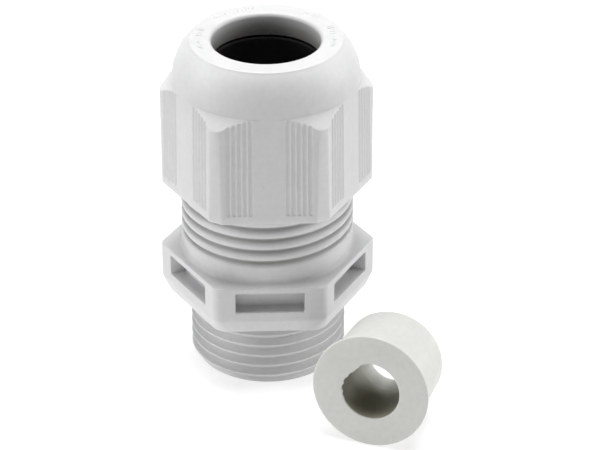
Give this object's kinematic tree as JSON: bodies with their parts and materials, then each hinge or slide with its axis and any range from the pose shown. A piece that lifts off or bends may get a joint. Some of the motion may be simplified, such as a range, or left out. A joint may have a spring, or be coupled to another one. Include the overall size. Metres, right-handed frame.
{
  "type": "cable gland",
  "caption": "Plastic cable gland with a threaded entry, hexagonal flange with recesses, domed hexagonal cap nut and a loose flanged reducing insert.",
  "frame": {"origin": "centre of the entry thread's open end, on the gland's axis", "axes": "+Z along the gland's axis from the entry thread to the cap nut's mouth; two flats of each hexagon face -Y and +Y"},
  "size_m": [0.0352, 0.0378, 0.0448],
  "materials": {
    "grey_nylon": "light grey moulded nylon, satin",
    "claw_nylon": "light grey moulded nylon, satin",
    "black_rubber": "black rubber, matt",
    "insert_plastic": "pale grey soft plastic, slightly translucent"
  },
  "bodies": {
    "gland": {"gland_body": "grey_nylon"},
    "carrier": {"clamping_claw": "claw_nylon", "seal_insert": "black_rubber"},
    "nut": {"cap_nut": "grey_nylon"},
    "insert": {"reducing_insert": "insert_plastic"}
  },
  "joints": [
    {"name": "nut_travel", "type": "slide", "parent": "gland", "child": "carrier", "axis": [0, 0, 1], "range_m": [-0.00321, 0.00641]},
    {"name": "nut_turn", "type": "hinge", "parent": "carrier", "child": "nut", "pos_m": [0, 0, 0.03], "axis": [0, 0, 1], "range_deg": [-720, 1440]},
    {"name": "insert_lift", "type": "slide", "parent": "gland", "child": "insert", "axis": [0, 0, 1], "range_m": [0, 0.05]}
  ],
  "couplings": [
    {"joint": "nut_travel", "follows": "nut_turn", "m_per_rad": 0.00025465}
  ]
}
